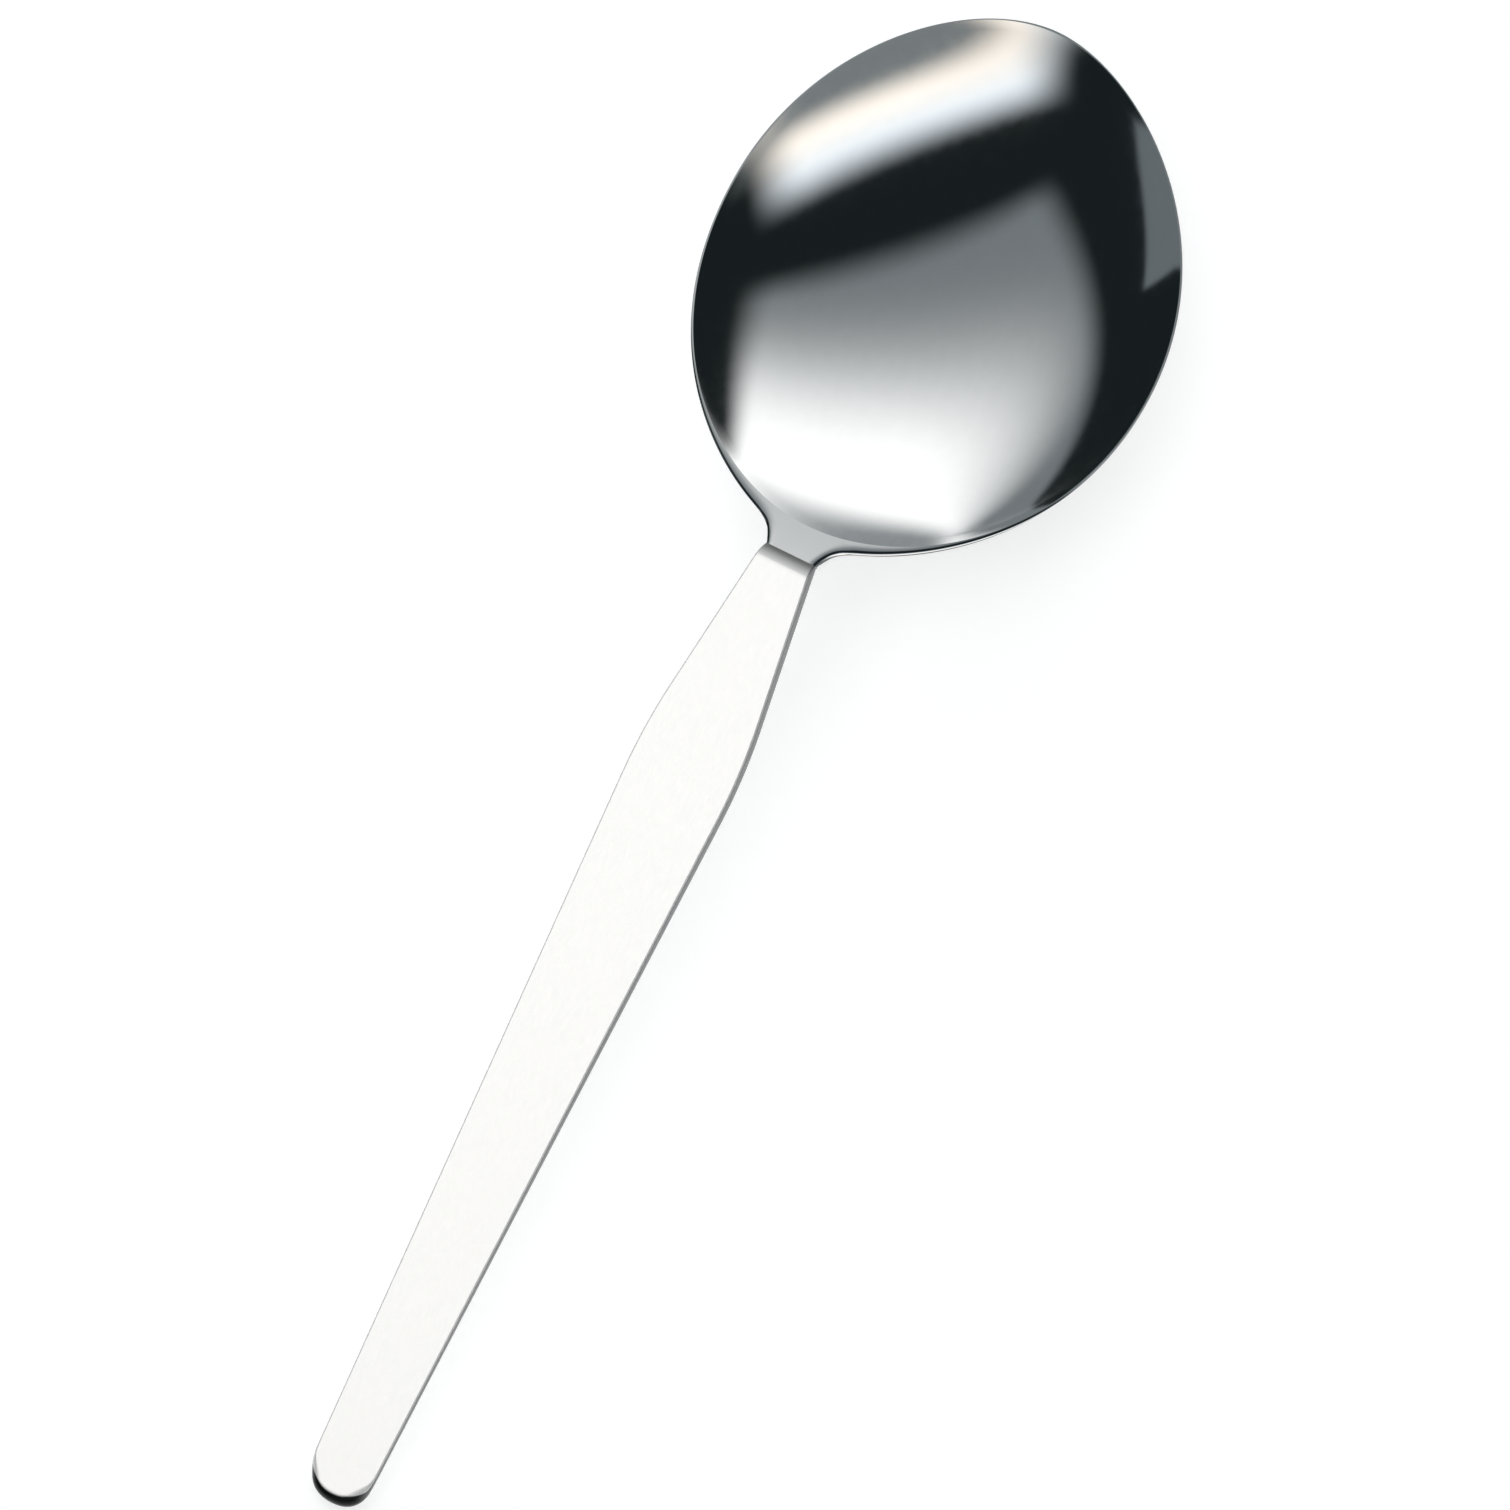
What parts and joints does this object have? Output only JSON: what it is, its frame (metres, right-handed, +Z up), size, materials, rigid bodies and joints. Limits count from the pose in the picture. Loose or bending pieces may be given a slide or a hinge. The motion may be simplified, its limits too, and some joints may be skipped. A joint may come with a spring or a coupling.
{
  "type": "soup spoon",
  "caption": "Soup spoon with a polished, broad egg-shaped bowl and a flat satin handle that widens behind a narrow stepped neck and tapers to a rounded end.",
  "frame": {"origin": "on the table under the middle of the spoon's length, in its mirror plane", "axes": "+Y from the handle's end to the bowl's tip, +Z up as the spoon lies on a table, +X to the right"},
  "size_m": [0.0512, 0.17, 0.0159],
  "materials": {
    "polished_steel": "stainless steel, mirror-polished, with very fine wipe marks",
    "satin_steel": "stainless steel, fine satin with a lengthwise hairline grain"
  },
  "bodies": {
    "root": {"bowl": "polished_steel", "handle": "satin_steel"}
  },
  "joints": []
}
